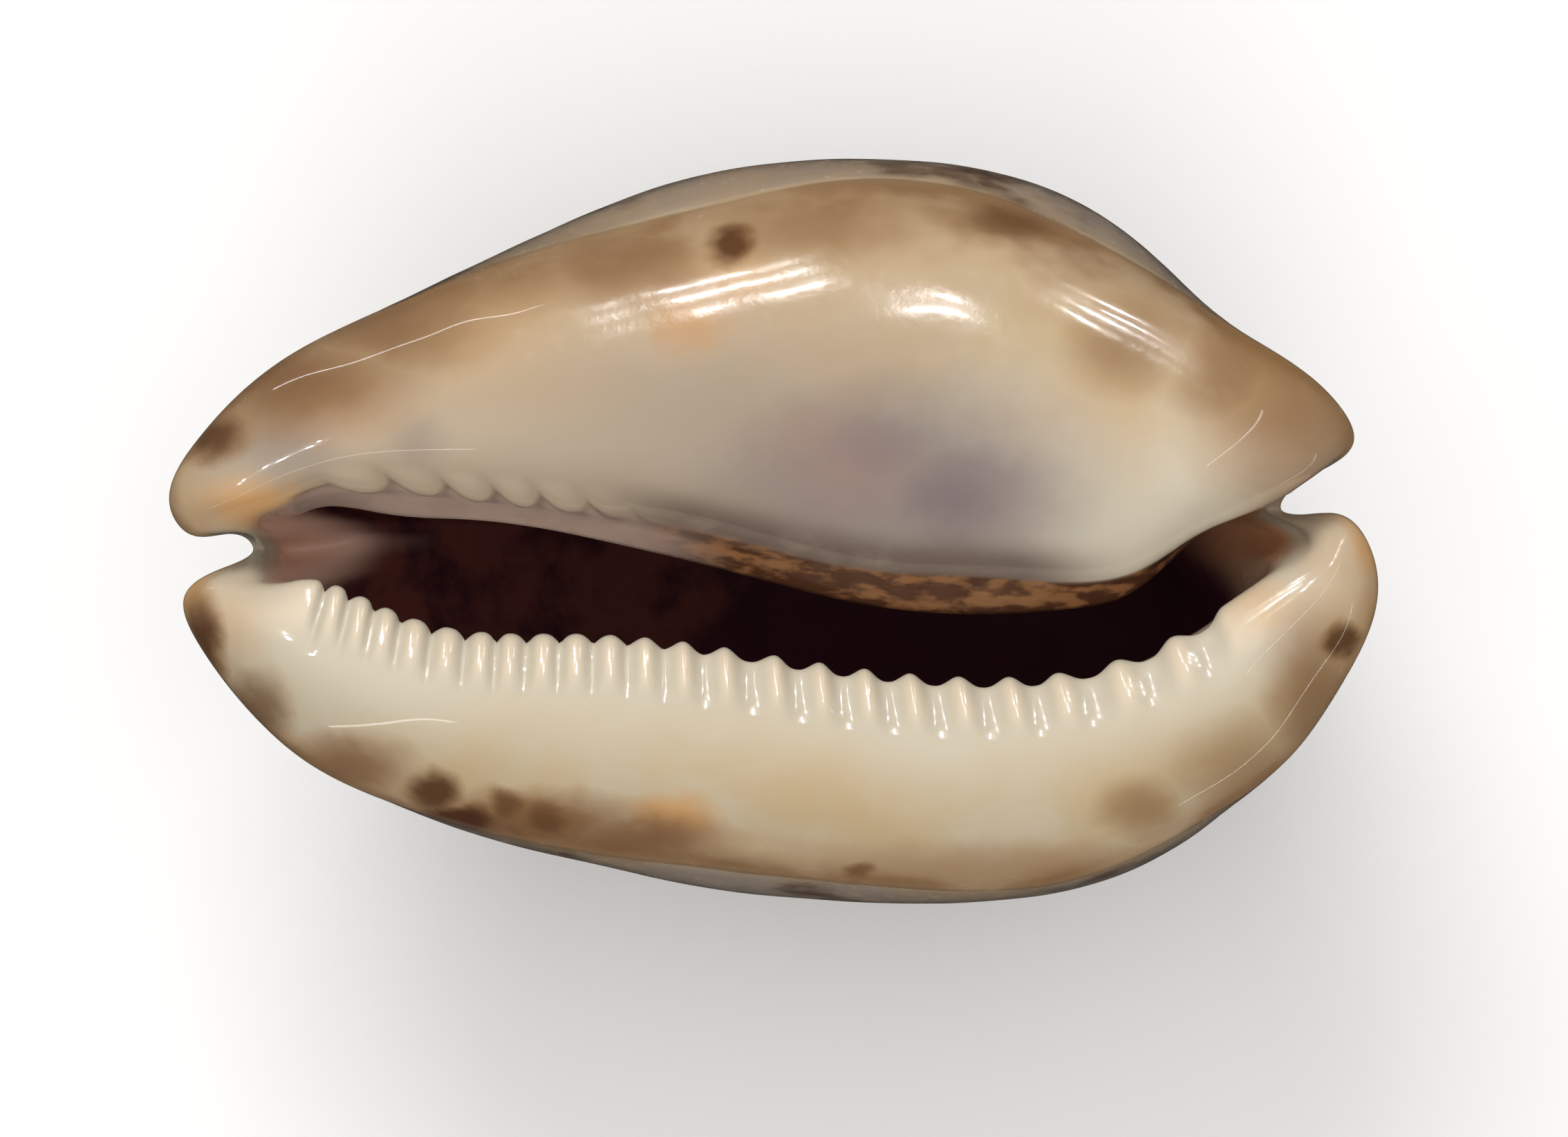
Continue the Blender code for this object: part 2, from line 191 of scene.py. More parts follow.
# %% [markdown]
# Curves that pass through every landmark without a kink are natural cubic splines, worked out with a small
# system of equations. The helpers under them fade one value softly into another, which is what most of the
# shell's forms and colours do.

# %% Smooth curves
def curve_through(knots, values, at):
    """A smooth curve through the values at the knots, with no jump in its bend, read at the given places."""
    step = np.diff(knots)
    slope = np.diff(values, axis=0) / step[:, None]
    system = np.eye(len(knots))
    pull = np.zeros_like(values)
    for i in range(1, len(knots) - 1):
        system[i, i - 1 : i + 2] = step[i - 1], 2 * (step[i - 1] + step[i]), step[i]
        pull[i] = 6 * (slope[i] - slope[i - 1])
    bend = np.linalg.solve(system, pull)
    i = np.clip(np.searchsorted(knots, at, side="right") - 1, 0, len(step) - 1)
    ahead = ((at - knots[i]) / step[i])[:, None]
    behind = 1 - ahead
    straight = behind * values[i] + ahead * values[i + 1]
    bent = (behind**3 - behind) * bend[i] + (ahead**3 - ahead) * bend[i + 1]
    return straight + bent * (step[i] ** 2)[:, None] / 6


def closed_curve(knots, length, values, at):
    """curve_through for a curve that comes back to its start after the given length."""
    wrap = 6
    around = np.vstack([values[-wrap:], values, values[:wrap]])
    places = np.concatenate([knots[-wrap:] - length, knots, knots[:wrap] + length])
    return curve_through(places, around, at)


def fade(value, start, end):
    """0 at the start and 1 at the end, with a soft beginning and end."""
    share = np.clip((value - start) / (end - start), 0, 1)
    return share * share * (3 - 2 * share)


def plateau(value, start, full, fading, end):
    """Rises softly from 0 at the start to 1 where it is full, and falls to 0 again from fading to the end."""
    return fade(value, start, full) * fade(value, end, fading)


def mix(first, second, share):
    return first + (second - first) * share


def lengths(vectors):
    return np.linalg.norm(vectors, axis=1)[:, None]


def steps_round(points):
    return lengths(np.roll(points, -1, axis=0) - points)[:, 0]

# %% [markdown]
# The landmarks are too few for a smooth edge, so columns are read from the curve through them. They are
# spaced evenly along the lip and the margin together, because each of the two turns sharply at places where
# the other runs straight.

# %% Columns between the landmarks
MARGIN_SHARE = 0.35


def landmark_columns(count):
    """The landmarks read at evenly spaced columns, and each column's place in their list."""
    table = np.array(LANDMARKS)
    step = mix(steps_round(table[:, 0:3]), steps_round(table[:, 3:6]), MARGIN_SHARE)
    ends = np.concatenate([[0.0], np.cumsum(step)])
    at = np.arange(count) * ends[-1] / count
    return closed_curve(ends[:-1], ends[-1], table, at), np.interp(at, ends, np.arange(len(ends)))


columns, place = landmark_columns(COLUMNS)
print("columns in the net:", len(columns))

# %% [markdown]
# Under the flat base hangs the swollen back, a dome that is drawn out a little at both ends. The hollow is a
# smaller dome inside it. Each is a set of rings that shrink towards the bottom.

# %% The domes of the back and the hollow
ANGLE_SOFTNESS = 0.012


def softened(values, share):
    """The values averaged with their neighbours', within about the given share of all the columns."""
    count = len(values)
    reach = np.arange(-count // 2, count // 2)
    weight = np.exp(-0.5 * (reach / (share * count)) ** 2)
    around = (np.arange(count)[:, None] + reach) % count
    return np.einsum("ij...,j->i...", values[around], weight / weight.sum())


def even_angles(arms):
    """The angle of each column's arm, spread out evenly where the margin turns back into a notch."""
    steady = np.linspace(0, 2 * np.pi, len(arms), endpoint=False)
    return steady + softened(np.unwrap(np.arctan2(arms[:, 1], arms[:, 0])) - steady, ANGLE_SOFTNESS)


def body_outline(angle):
    """The body's outline at each angle about the rest spot."""
    around = np.array(BODY) - REST_CENTRE
    at = np.unwrap(np.arctan2(around[:, 1], around[:, 0]))
    turn = 2 * np.pi
    radius = closed_curve(at, turn, lengths(around), at[0] + (angle - at[0]) % turn)
    return REST_CENTRE + radius * np.column_stack([np.cos(angle), np.sin(angle)])


def at_depth(flat, depth):
    return np.column_stack([flat, HEIGHT - depth + np.zeros((len(flat), 1))])


def ends_share(angle, front, rear):
    """A value that is 0 at the sides and grows to the front's or the rear's towards that end."""
    return np.where(np.cos(angle) < 0, front, rear) * np.cos(angle) ** 4


def domed(outline, angle, drop, bottom, share, turn):
    """A ring of a dome that hangs from the outline. At turn 1 the ring has shrunk to the given share."""
    last = np.arccos(share)
    flat = REST_CENTRE + (outline - REST_CENTRE) * np.cos(turn * last)
    top = HEIGHT - BULGE_DEPTH - drop + ends_share(angle, FRONT_RISE, REAR_RISE)
    taper = 1 + ends_share(angle, FRONT_TAPER, REAR_TAPER)
    height = bottom + (top - bottom) * (1 - (np.sin(turn * last) / np.sin(last)) ** taper)
    return np.column_stack([flat, height])

# %% [markdown]
# Nineteen key rings carry the form. The lip rings lean into the mouth, the base rings bulge up between lip
# and margin, and near the two notches the columns turn to follow the canals.

# %% Key rings
THROAT_SOFTNESS = 0.007
HOLLOW_DROP, CANAL_DROP = 1.0, 3.0
DOME_TURNS = (1, 0.75, 0.5, 0.25, 0)


def key_rings(columns):
    """The rings named in RINGS, as (ring, column, xyz)."""
    lip, lip_depth, margin, margin_depth, crest, lean = np.split(columns, [2, 3, 5, 6, 7], axis=1)
    across = margin - lip
    canal = fade(lip_depth, CANAL_FROM, CANAL_TO)
    along_canal = (MOUTH_MIDDLE - lip) / lengths(MOUTH_MIDDLE - lip)
    inward = mix(-across / lengths(across), along_canal, canal)
    inward /= lengths(inward)

    angle = even_angles(margin - REST_CENTRE)
    body = body_outline(angle)
    outward = body - REST_CENTRE
    hollow = body - outward / lengths(outward) * mix(WALL, CANAL_WALL, canal)
    drop = mix(HOLLOW_DROP, CANAL_DROP, canal[:, 0])
    hollow_rings = [domed(hollow, angle, drop, FLOOR_WALL, 0.0, turn) for turn in DOME_TURNS]

    face = mix(LIP_FACE, CANAL_FACE, canal)
    under_lip = at_depth(lip + inward * lean, lip_depth + face)
    to_hollow = hollow_rings[-1][:, 0:2] - under_lip[:, 0:2]
    throat_flat = under_lip[:, 0:2] + mix(THROAT_SHARE * to_hollow, CANAL_FLOOR * inward, canal)
    throat_depth = THROAT_DEPTH + CANAL_SLOPE * np.maximum(lip_depth - CANAL_FROM, 0.0)

    def base(share, fall, rise):
        """A ring on the base, this share of the way out. It falls to the lip and dips to the margin."""
        depth = crest + fall * (lip_depth - crest) + rise * (margin_depth - crest)
        return at_depth(lip + across * share, depth)

    return np.array([
        *hollow_rings,
        softened(at_depth(throat_flat, throat_depth), THROAT_SOFTNESS),
        under_lip,
        at_depth(lip + inward * lean * 0.5, lip_depth + face * 0.475),
        at_depth(lip, lip_depth),
        base(0.12, 0.35, 0.0),
        base(0.33, 0.0, 0.0),
        base(0.62, 0.0, 0.12),
        base(0.86, 0.0, 0.45),
        at_depth(margin, margin_depth),
        *(domed(body, angle, 0.0, 0.0, REST_SHARE, turn) for turn in reversed(DOME_TURNS)),
    ])

# %% [markdown]
# A column is drawn through its nineteen key points with the same smooth curve as the landmarks, and cut into
# the rows that RINGS asks for. A subdivision surface would shrink away from the rings, and this doesn't.

# %% Weave the net
LEAST_STEP = 0.05


def net_through(keys, rows_between):
    """The net as (row, column, xyz): a smooth curve down each column, with the given rows up to each ring."""
    reading = [0.0]
    for key, rows in enumerate(rows_between[1:]):
        reading += [key + (row + 1) / rows for row in range(rows)]
    net = np.empty((len(reading), keys.shape[1], 3))
    for column in range(keys.shape[1]):
        track = keys[:, column]
        step = lengths(np.diff(track, axis=0))[:, 0] + LEAST_STEP
        knots = np.concatenate([[0.0], np.cumsum(step)])
        net[:, column] = curve_through(knots, track, np.interp(reading, np.arange(len(keys)), knots))
    return net


def outward_normals(net):
    along = np.gradient(net, axis=0)
    around = (np.roll(net, -1, axis=1) - np.roll(net, 1, axis=1)) / 2
    normal = np.cross(along, around)
    return normal / (np.linalg.norm(normal, axis=2, keepdims=True) + 1e-9)


net = net_through(key_rings(columns), ROWS_BETWEEN)
print("points in the plain net:", net.shape[0] * net.shape[1])

# %% [markdown]
# Where a canal meets the hollow the net bends sharply and crowds together. On the real shell each new layer
# of enamel rounds such a corner off. Here every point of the throat moves a little towards the mean of its
# four neighbours, many times over, which does the same.

# %% Round off the throat
SMOOTHING_TURNS = 60
STEP_SHARE = 0.5
inner_rows = np.arange(net.shape[0])[:, None, None]
smoothed = fade(inner_rows, row_of("under the lip") + 1, row_of("under the lip") - 5)
smoothed = smoothed * fade(inner_rows, row_of("widest hollow") - 1, row_of("throat"))
for turn in range(SMOOTHING_TURNS):
    above_and_below = np.roll(net, 1, axis=0) + np.roll(net, -1, axis=0)
    beside = np.roll(net, 1, axis=1) + np.roll(net, -1, axis=1)
    net = net + STEP_SHARE * smoothed * ((above_and_below + beside) / 4 - net)
print("rows that were rounded off:", int((smoothed[:, 0, 0] > 0).sum()))

# %% [markdown]
# Teeth are low, rounded ridges that a crawling cowry's flesh slides over. They could be separate pieces, but
# on the real shell they are part of the same enamel, so the net's own points move in and out. First every
# point learns how far it lies from its lip's edge, along the skin.

# %% Distance along the skin
step = np.linalg.norm(np.diff(net, axis=0), axis=2)
run = np.vstack([np.zeros(COLUMNS), np.cumsum(step, axis=0)])
run = run - run[row_of("lip edge")]
past_margin = run - run[row_of("margin")]
lip_x = columns[:, 0]
print("widest base, from lip to margin: %.1f mm" % run[row_of("margin")].max())

# %% [markdown]
# On the outer lip the gaps between the teeth are scooped out like thumb prints and end in a round scoop. The
# front teeth are broad with narrow gaps, and the rear teeth are thin with wide gaps.

# %% Teeth of the outer lip
# The teeth stand between these places in the list of landmarks: start, full, fading and end.
LIP_SPAN = (2.6, 4.2, 13.3, 14.5)
SCOOP_DEPTH = 0.62
SCOOP_START, SCOOP_FULL = -4.5, -1.5
SCOOP_STRAIGHT, SCOOP_END = 0.9, 4.7
# From these two places along X, the broad front teeth turn into the thin rear ones.
FRONT_TEETH_END, REAR_TEETH_START = -13, -1
FRONT_SHARPNESS, REAR_SHARPNESS = 2.4, 2.6
SCOOP_ROUNDNESS = 1.2
TINT_RUN = (-0.2, 1.2, 2.2, 4.4)


def gap_place(position, middles):
    """0 on the middle of a tooth and 1 in the middle of the gap beside it."""
    phase = np.interp(position, middles, np.arange(len(middles)))
    return 2 * np.abs(phase - np.round(phase))


gap = gap_place(lip_x, LIP_TEETH)
front_gap = gap**FRONT_SHARPNESS
rear_gap = 1 - np.cos(0.5 * np.pi * gap) ** REAR_SHARPNESS
past = np.clip((run - SCOOP_STRAIGHT) / (SCOOP_END - SCOOP_STRAIGHT), 0, 1)
scoop = mix(front_gap, rear_gap, fade(lip_x, FRONT_TEETH_END, REAR_TEETH_START))
on_outer_lip = plateau(place, *LIP_SPAN)
scoop = scoop * (1 - past**2) ** SCOOP_ROUNDNESS * fade(run, SCOOP_START, SCOOP_FULL) * on_outer_lip
tooth = (1 - fade(gap, 0.1, 0.6)) * on_outer_lip * plateau(run, *TINT_RUN)
print("deepest scoop: %.2f mm" % (SCOOP_DEPTH * scoop.max()))

# %% [markdown]
# The columella's teeth are softer: a row of lobes like fish scales, with short slanting grooves between
# them. Below the lobes the skin dips into a shallow hollow, the fossula.

# %% Teeth of the columella
LOBE_SPAN = (28.0, 29.3, 31.6, 32.4)
GROOVE_SLANT = 0.25
LOBE_HEIGHT = 0.5
STEP_DEPTH = 0.4
LOBE_RUN = (-1.9, -0.8, -0.1, 1.9)
GROOVE_RUN = (-1.6, -0.5, 0.0, 1.6)
LOBE_SHARE, LOBE_SHARPNESS = 0.62, 2.4
LOBE_FOOT = 0.9
FOOT_SOFTNESS = 0.5
on_lobes = plateau(place, *LOBE_SPAN)
lobe_gap = 1 - gap_place(lip_x + GROOVE_SLANT * run, COLUMELLA_GROOVES)
lobe = (LOBE_SHARE - lobe_gap**LOBE_SHARPNESS) * plateau(run, *LOBE_RUN) * on_lobes
groove = lobe_gap**2 * plateau(run, *GROOVE_RUN) * on_lobes
lobe_foot = LOBE_FOOT * (lobe_gap**2 - 1)
under_lobes = fade(run, lobe_foot + FOOT_SOFTNESS, lobe_foot - FOOT_SOFTNESS)
under_lobes = under_lobes * fade(run, -5.5, -3.0) * on_lobes
print("lobes rise and fall by up to: %.2f and %.2f mm" % (LOBE_HEIGHT * lobe.max(), LOBE_HEIGHT * lobe.min()))

# %% [markdown]
# Three last touches of form: the low bump over the hidden spire at the rear of the back, the thin ledge
# along the margin where the two layers of enamel meet, and a faint waviness that keeps highlights from
# looking machined.

# %% Spire, ledge and waviness
def spire(net):
    """The low bump over the hidden spire, at the rear of the back."""
    distance = np.linalg.norm(net - SPIRE_PLACE, axis=2)
    return SPIRE_HEIGHT * fade(distance, SPIRE_RADIUS, 0)


LEDGE_HEIGHT = 0.1
LEDGE_PLACE, LEDGE_WIDTH = -0.4, 0.35
WAVE_HEIGHT = 0.022


def waviness(points):
    """A slow, uneven swell of the surface, between about -1 and 1."""
    x, y, z = points[..., 0], points[..., 1], points[..., 2]
    return (
        np.sin(0.55 * x + 0.9 * np.sin(0.31 * y + 1.0)) * np.sin(0.47 * y + 0.8 * np.sin(0.23 * x) + 0.4 * z)
        + 0.5 * np.sin(1.1 * x + 0.7 * y + 1.3 * np.sin(0.4 * y))
    ) / 1.5


out = -SCOOP_DEPTH * scoop + LOBE_HEIGHT * lobe - STEP_DEPTH * under_lobes
out += LEDGE_HEIGHT * np.exp(-0.5 * ((past_margin - LEDGE_PLACE) / LEDGE_WIDTH) ** 2)
on_outside = fade(run, 3.0, 7.0)
out += WAVE_HEIGHT * waviness(net) * on_outside
back = row_of("bulge")
out[back:-1] += spire(net[back:-1])
out[-1] = 0
net = net + outward_normals(net) * out[..., None]
print("furthest out and in: %.2f and %.2f mm" % (out.max(), out.min()))

# %% [markdown]
# Where the colours go is worked out on the same net. Each of these masks is a number from 0 to 1 at every
# point, and the material reads it by name. Painting by hand would do as well, but a mask follows the form
# exactly and can be changed in one place. In the sums below, run and past_margin are millimetres along the
# skin from the lip's edge and from the margin, lip_x is millimetres along X, and place counts the landmarks.

# %% Masks for the colours
lip_depth = columns[:, 2]
canal = fade(lip_depth, CANAL_FROM, CANAL_TO) * np.ones_like(run)
COLUMELLA_SPAN = (18.5, 20.0, 33.5, 35.0)
columella = plateau(place, *COLUMELLA_SPAN) * np.ones_like(run)
inside = fade(run, -0.6, -2.2)
base_share = np.clip(run / run[row_of("margin")], 0, 1)
MASKS = {
    "tooth": tooth,
    "scoop": scoop,
    "groove": groove,
    "fossula": columella * (1 - canal) * fade(run, 0.2, -1.0) * fade(lip_x, 2.0, -6.0),
    "inner_face": inside * (1 - canal),
    # deep: deeper in the mouth, where the darkening is partly the shell's own colour and partly painted shade.
    "deep": fade(run, mix(-4.4, -6.5, canal), mix(-6.0, -14.0, canal)),
    # shoulder_painted_shade: a band of painted shade on the columella's shoulder.
    "shoulder_painted_shade": columella * plateau(run, -2.4, -0.8, 0.5, 3.0) * plateau(lip_x, -11.0, -4.0, 14.0, 21.0),
    "canal_red": canal * fade(run, -0.6, -3.0),
    "flamed": columella * (1 - canal) * fade(run, -0.5, -1.0) * fade(lip_x, -9.0, -2.0),
    "toward_margin": base_share ** mix(4.2, 2.0, columella) * fade(past_margin, 0.8, 0.0),
    "front": fade(lip_x, -13.0, -20.0) * np.ones_like(run),
    # painted_shade: painted shade over the middle of the columella side.
    "painted_shade": columella * fade(run, 18.0, 7.0) * fade(lip_x, 16.0, -4.0) * 0.85,
    "near_lip": fade(run, 9.0, 2.0) * fade(run, -2.0, -0.5),
    "back": fade(past_margin, -0.3, 1.6),
    "low_back": fade(past_margin, 4.0, 16.0),
    "crest_line": np.exp(-0.5 * ((past_margin + 0.35) / 0.3) ** 2),
}
print("masks:", ", ".join(MASKS))

# %% [markdown]
# The net becomes a mesh of quads with bmesh. Rows near the bottom keep only each second or fourth column,
# since the points crowd together there, and triangles join the fine rows to the coarse ones.

# %% Make the mesh
def bridge(bm, low, high):
    """Faces between two closed rows of points. One may have twice the other's points, or be one point."""
    if len(low) > len(high):
        low, high = high, low
    several = len(high) // len(low)
    for i, start in enumerate(low):
        end = low[(i + 1) % len(low)]
        if len(low) == 1:
            for j, point in enumerate(high):
                bm.faces.new((start, point, high[(j + 1) % len(high)]))
        elif several == 1:
            bm.faces.new((start, high[i], high[(i + 1) % len(high)], end))
        else:
            first, middle, last = (high[(2 * i + j) % len(high)] for j in range(3))
            bm.faces.new((start, first, middle))
            bm.faces.new((start, middle, end))
            bm.faces.new((end, middle, last))


def shell_mesh():
    """The net as one closed mesh, with every mask stored on its points."""
    places = (net - [*REST_CENTRE, 0]) * MM
    bm = bmesh.new()
    layers = {name: bm.verts.layers.float.new(name) for name in MASKS}

    def add_row(row, keep):
        made = []
        for column in range(0, COLUMNS, keep):
            vert = bm.verts.new(places[row, column])
            for name, layer in layers.items():
                vert[layer] = float(MASKS[name][row, column])
            made.append(vert)
        return made

    kept = [keep for rows, keep in zip(ROWS_BETWEEN, KEEPS) for row in range(max(rows, 1))]
    rows = [[bm.verts.new(places[0, 0])]]
    rows[0][0][layers["inner_face"]] = 1.0
    rows[0][0][layers["deep"]] = 1.0
    rows += [add_row(row, kept[row]) for row in range(1, len(kept))]
    rows += [[bm.verts.new((0, 0, 0))]]
    rows[-1][0][layers["back"]] = 1.0
    rows[-1][0][layers["low_back"]] = 1.0
    for low, high in zip(rows, rows[1:]):
        bridge(bm, low, high)
    bmesh.ops.recalc_face_normals(bm, faces=bm.faces)
    mesh = bpy.data.meshes.new("cowry_shell")
    bm.to_mesh(mesh)
    bm.free()
    mesh.shade_smooth()
    return mesh


cowry = bpy.data.objects.new("cowry_shell", shell_mesh())
bpy.context.scene.collection.objects.link(cowry)
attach(cowry, "root")
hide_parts("shell")
print("faces in the shell:", len(cowry.data.polygons))

# %% [markdown]
# Materials are graphs of nodes. Three small helpers keep the cells short: one adds a node and fills its
# inputs, one does sums, and one mixes two colours by a mask.

# %% Node helpers
def plug(tree, socket, value):
    """Links a socket into an input, or sets the input's own value."""
    if isinstance(value, bpy.types.NodeSocket):
        tree.links.new(value, socket)
    else:
        socket.default_value = value


def add_node(tree, kind, settings=None, inputs=None):
    made = tree.nodes.new(kind)
    for name, value in (settings or {}).items():
        setattr(made, name, value)
    for name, value in (inputs or {}).items():
        plug(tree, made.inputs[name], value)
    return made


def maths(tree, operation, *values):
    made = add_node(tree, "ShaderNodeMath", {"operation": operation}, dict(enumerate(values)))
    return made.outputs[0]


def vector_maths(tree, operation, *values):
    made = add_node(tree, "ShaderNodeVectorMath", {"operation": operation}, dict(enumerate(values)))
    return made.outputs[0]


def blend(tree, mask, first, second):
    """The first colour where the mask is 0 and the second where it is 1."""
    made = add_node(tree, "ShaderNodeMix", {"data_type": "RGBA"}, {0: mask, 6: first, 7: second})
    return made.outputs[2]


def ramp(tree, value, low, high, first=0.0, last=1.0):
    """Turns a value between low and high softly into one between first and last."""
    made = add_node(
        tree,
        "ShaderNodeMapRange",
        {"interpolation_type": "SMOOTHSTEP"},
        {"Value": value, "From Min": low, "From Max": high, "To Min": first, "To Max": last},
    )
    return made.outputs["Result"]

# %% [markdown]
# Enamel colours are cloudy: one tint drifts into the next without an edge. A node group makes such a cloud
# once, and each use of it only sets how large the drifts are and how hard their edges.

# %% A group for cloudy drifts
def new_group(name, inputs, outputs):
    """An empty node group with named sockets, and its two end nodes."""
    group = bpy.data.node_groups.new(name, "ShaderNodeTree")
    for label, kind, value in inputs:
        socket = group.interface.new_socket(name=label, in_out="INPUT", socket_type=kind)
        if value is not None:
            socket.default_value = value
    for label, kind in outputs:
        group.interface.new_socket(name=label, in_out="OUTPUT", socket_type=kind)
    return group, group.nodes.new("NodeGroupInput"), group.nodes.new("NodeGroupOutput")


drift_group, start, end = new_group(
    "Cloudy drift",
    [
        ("Place", "NodeSocketVector", None),
        ("Scale", "NodeSocketFloat", 0.1),
        ("Low", "NodeSocketFloat", 0.4),
        ("High", "NodeSocketFloat", 0.6),
    ],
    [("Mask", "NodeSocketFloat")],
)
cloud = add_node(
    drift_group,
    "ShaderNodeTexNoise",
    None,
    {"Vector": start.outputs["Place"], "Scale": start.outputs["Scale"], "Detail": 4.0, "Roughness": 0.55},
)
soft = ramp(drift_group, cloud.outputs[0], start.outputs["Low"], start.outputs["High"])
drift_group.links.new(soft, end.inputs["Mask"])


def drift(tree, where, scale, low=0.4, high=0.6):
    inputs = {"Place": where, "Scale": scale, "Low": low, "High": high}
    return add_node(tree, "ShaderNodeGroup", {"node_tree": drift_group}, inputs).outputs["Mask"]


print("group made:", drift_group.name)

# %% [markdown]
# A cowry's spots lie under the last layer of enamel, so their edges are soft. The spot group measures how
# far a point is from the spot's middle, in units of the spot's own radii.

# %% A group for soft spots
spot_group, start, end = new_group(
    "Soft spot",
    [
        ("Place", "NodeSocketVector", None),
        ("Middle", "NodeSocketVector", None),
        ("One over radii", "NodeSocketVector", None),
        ("Softness", "NodeSocketFloat", 0.4),
    ],
    [("Mask", "NodeSocketFloat")],
)
offset = vector_maths(spot_group, "SUBTRACT", start.outputs["Place"], start.outputs["Middle"])
scaled = vector_maths(spot_group, "MULTIPLY", offset, start.outputs["One over radii"])
distance = add_node(spot_group, "ShaderNodeVectorMath", {"operation": "LENGTH"}, {0: scaled}).outputs["Value"]
outer = maths(spot_group, "ADD", 1.0, start.outputs["Softness"])
inner = maths(spot_group, "SUBTRACT", 1.0, start.outputs["Softness"])
spot_group.links.new(ramp(spot_group, distance, outer, inner), end.inputs["Mask"])
print("group made:", spot_group.name)

# %% [markdown]
# Each spot of this shell is listed by its middle, its radii along X and Y, its softness and its strength. The
# tint it belongs to is the list's name. A spot reaches only the base and the margin, not the back under it.

# %% The spots of this shell
SPOT_DEPTH, SPOT_REACH = 6.0, 14.0
UMBER = [
    (-2.4, 16.5, 1.3, 1.0, 0.55, 0.9), (-19.7, -15.2, 1.3, 1.1, 0.6, 0.9), (-18.6, -16.9, 2.6, 0.9, 0.5, 1.0),
    (-15.4, -15.9, 0.9, 0.8, 0.7, 0.7), (-13.2, -16.8, 1.1, 0.9, 0.7, 0.7), (32.8, -6.4, 1.0, 0.9, 0.6, 0.85),
    (4.9, -19.8, 0.7, 0.5, 0.6, 0.6), (-32.6, 5.4, 1.8, 1.2, 0.7, 0.85), (13.9, 18.0, 2.8, 1.1, 0.8, 0.65),
    (-33.2, -7.0, 1.2, 2.8, 0.6, 0.9), (-30.0, -10.5, 1.6, 1.8, 0.7, 0.6),
]
BROWN = [
    (-27.5, 8.6, 4.7, 2.2, 0.9, 0.8), (-22.5, 11.8, 4.4, 2.1, 0.9, 0.7), (-17.0, 14.2, 4.4, 1.9, 0.9, 0.2),
    (-9.4, 15.4, 3.8, 1.8, 0.9, 0.6), (20.2, 10.8, 2.4, 2.1, 0.9, 0.5), (26.2, 8.6, 2.3, 2.0, 0.9, 0.5),
    (-14.0, -17.0, 4.8, 1.4, 0.8, 0.9), (-8.5, -17.9, 4.2, 1.2, 0.8, 0.75), (21.2, -16.0, 1.8, 1.3, 0.8, 0.4),
    (2.2, 17.6, 4.4, 1.5, 0.9, 0.5), (-24.5, -13.6, 2.6, 1.4, 0.8, 0.7), (30.4, 6.2, 4.2, 3.4, 0.9, 0.5),
    (31.0, -9.4, 1.8, 3.6, 0.9, 0.55), (27.2, -14.0, 2.8, 2.2, 0.9, 0.3), (13.0, -19.6, 9.0, 1.1, 0.9, 0.25),
]
ORANGE = [
    (-4.9, 11.9, 2.0, 1.6, 0.9, 0.75), (-5.9, -16.6, 2.2, 1.3, 0.6, 0.8), (-30.2, 1.5, 2.8, 1.3, 0.8, 0.8),
    (-33.8, -3.9, 1.5, 1.4, 0.8, 0.6), (34.4, -1.1, 1.4, 1.9, 0.8, 0.6), (28.5, -4.3, 2.0, 1.3, 0.9, 0.4),
    (-2.0, 14.2, 2.4, 1.2, 0.9, 0.5), (29.4, 6.8, 5.0, 5.0, 0.9, 0.3), (33.0, -3.3, 2.5, 4.5, 0.9, 0.35),
    (20.0, 7.0, 5.0, 4.0, 0.9, 0.18), (-31.7, -5.3, 2.2, 2.2, 0.9, 0.35),
    (-16.0, 10.0, 7.0, 3.0, 0.9, 0.15), (-24.0, 7.0, 4.0, 2.0, 0.9, 0.2),
]
LILAC = [
    (6.3, 3.4, 10.6, 5.8, 0.7, 0.8), (-6.2, -17.9, 1.7, 0.8, 0.8, 0.5), (-28.1, 4.8, 2.4, 1.9, 0.9, 0.45),
    (10.2, 2.3, 6.5, 4.2, 0.9, 1.0), (6.0, 4.4, 6.5, 3.6, 0.9, 0.95), (2.0, 6.0, 12.0, 6.0, 0.9, 0.4),
    (-20.6, 5.2, 1.6, 1.2, 0.9, 0.35),
]
REDDISH = [(2.6, 5.2, 2.4, 1.7, 0.9, 0.3), (4.3, 3.3, 3.0, 2.2, 0.9, 0.35)]
print("spots:", sum(map(len, (UMBER, BROWN, ORANGE, LILAC, REDDISH))))

# %% Helpers that gather spots and read masks
def spots(tree, where, spot_list):
    """One mask for all the spots of one tint."""
    total = None
    for x, y, across, along, softness, strength in spot_list:
        inputs = {
            "Place": where,
            "Middle": (x, y, HEIGHT - SPOT_DEPTH),
            "One over radii": (1 / across, 1 / along, 1 / SPOT_REACH),
            "Softness": softness,
        }
        one = add_node(tree, "ShaderNodeGroup", {"node_tree": spot_group}, inputs).outputs["Mask"]
        one = maths(tree, "MULTIPLY", one, strength)
        total = one if total is None else maths(tree, "MAXIMUM", total, one)
    return total


def mask(tree, name):
    return add_node(tree, "ShaderNodeAttribute", {"attribute_name": name}).outputs["Fac"]

# %% [markdown]
# Now the enamel. It starts as cream, and each further tint is laid over the ones before it: the broad drifts,
# then the spots, and last the back and the inside of the mouth. Colours are in linear light, which is what
# the renderer computes with.

